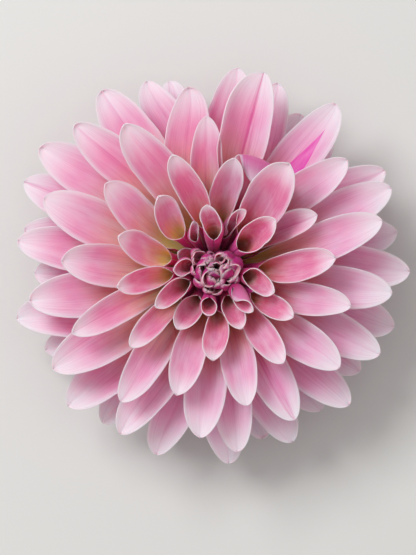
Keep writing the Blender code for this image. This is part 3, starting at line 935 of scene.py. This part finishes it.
class DAHLIA_OT_bracts(bpy.types.Operator):
    """Grow the five outer green bracts"""

    bl_idname = "dahlia.bracts"
    bl_label = "Outer bracts"

    def execute(self, context):
        colours = context.scene.dahlia_colours
        green = shared("bract", leaf_material, "bract", colours.green, BRACT_DARK, BRACT_VEIN)
        tree = petal_tree("bract", green, green, green)
        for k in range(BRACTS):
            sizes = {
                **BRACT_SIZES, "Centre": BRACT_CENTRE,
                "Azimuth": 2 * math.pi * (k + 0.2) / BRACTS, "Seed": 0.1 * k,
            }
            settle(grown(f"outer_bract_{k}", tree, sizes), (f"bract_{k}",))
        return {"FINISHED"}


class DAHLIA_OT_calyx(bpy.types.Operator):
    """Grow the inner green cup of eight lobes"""

    bl_idname = "dahlia.calyx"
    bl_label = "Calyx"

    def execute(self, context):
        colours = context.scene.dahlia_colours
        pale = shared("calyx", leaf_material, "calyx", colours.pale_green, CALYX_DARK, CALYX_VEIN)
        tree = petal_tree("calyx", pale, pale, pale)
        lobes = []
        for k in range(LOBES):
            sizes = {
                **CALYX_SIZES, "Centre": CENTRE,
                "Azimuth": 2 * math.pi * k / LOBES, "Seed": 0.1 * k + 0.03,
            }
            lobes.append(grown(f"lobe_{k}", tree, sizes))
        with context.temp_override(active_object=lobes[0], selected_editable_objects=lobes):
            bpy.ops.object.join()
        lobes[0].name = "calyx_cup"
        settle(lobes[0], ("calyx",))
        return {"FINISHED"}


class DAHLIA_OT_stage(bpy.types.Operator):
    """Lay the floor, hang the lights and set the camera"""

    bl_idname = "dahlia.stage"
    bl_label = "Stage"

    def execute(self, context):
        scene = context.scene
        stage = scene.dahlia_stage
        mesh = bpy.data.meshes.new("floor")
        corners = [(x * FLOOR_HALF, y * FLOOR_HALF, 0) for x, y in ((-1, -1), (1, -1), (1, 1), (-1, 1))]
        mesh.from_pydata(corners, [], [(0, 1, 2, 3)])
        mesh.materials.append(floor_material())
        floor = bpy.data.objects.new("floor", mesh)
        scene.collection.objects.link(floor)
        for name, place, size, power in LIGHTS:
            data = bpy.data.lights.new(name, "AREA")
            data.size = size
            data.energy = power
            light = bpy.data.objects.new(name, data)
            light.location = place
            light.rotation_mode = "QUATERNION"
            light.rotation_quaternion = (Vector(place) - LIT_POINT).to_track_quat("Z", "Y")
            scene.collection.objects.link(light)
        scene.view_settings.view_transform = "Standard"
        world = bpy.data.worlds.new("studio")
        world.use_nodes = True
        sky = world.node_tree.nodes["Background"]
        sky.inputs["Color"].default_value = SKY_COLOUR
        sky.inputs["Strength"].default_value = SKY_STRENGTH
        scene.world = world
        data = bpy.data.cameras.new("camera")
        data.sensor_fit = "AUTO"
        data.sensor_width = SENSOR_WIDTH
        data.lens = SENSOR_WIDTH * (stage.distance - TIP_HEIGHT) / stage.seen
        data.clip_start = 0.05
        camera = bpy.data.objects.new("camera", data)
        camera.location = (CENTRE.x + stage.across, CENTRE.y + stage.along, stage.distance)
        scene.collection.objects.link(camera)
        scene.camera = camera
        return {"FINISHED"}


class DAHLIA_PT_panel(bpy.types.Panel):
    """Every step of the flower, in order"""

    bl_idname = "DAHLIA_PT_panel"
    bl_label = "Dahlia"
    bl_space_type = "VIEW_3D"
    bl_region_type = "UI"
    bl_category = "Dahlia"

    def draw(self, context):
        for group in GROUPS:
            block = self.layout.box()
            values = getattr(context.scene, group)
            for label in values.__annotations__:
                block.prop(values, label)
        for step in STEPS:
            self.layout.operator(step.bl_idname)


GROUPS = {
    "dahlia_spiral": DahliaSpiral,
    "dahlia_petals": DahliaPetals,
    "dahlia_colours": DahliaColours,
    "dahlia_stage": DahliaStage,
}
STEPS = (
    DAHLIA_OT_ray_petals,
    DAHLIA_OT_young_florets,
    DAHLIA_OT_receptacle,
    DAHLIA_OT_bracts,
    DAHLIA_OT_calyx,
    DAHLIA_OT_stage,
)


def register():
    for kind in (*GROUPS.values(), *STEPS, DAHLIA_PT_panel):
        bpy.utils.register_class(kind)
    for name, kind in GROUPS.items():
        setattr(bpy.types.Scene, name, PointerProperty(type=kind))


def unregister():
    for name in GROUPS:
        delattr(bpy.types.Scene, name)
    for kind in reversed((*GROUPS.values(), *STEPS, DAHLIA_PT_panel)):
        bpy.utils.unregister_class(kind)


def main():
    register()
    for step in STEPS:
        area, name = step.bl_idname.split(".")
        getattr(getattr(bpy.ops, area), name)()


if __name__ == "__main__":
    main()
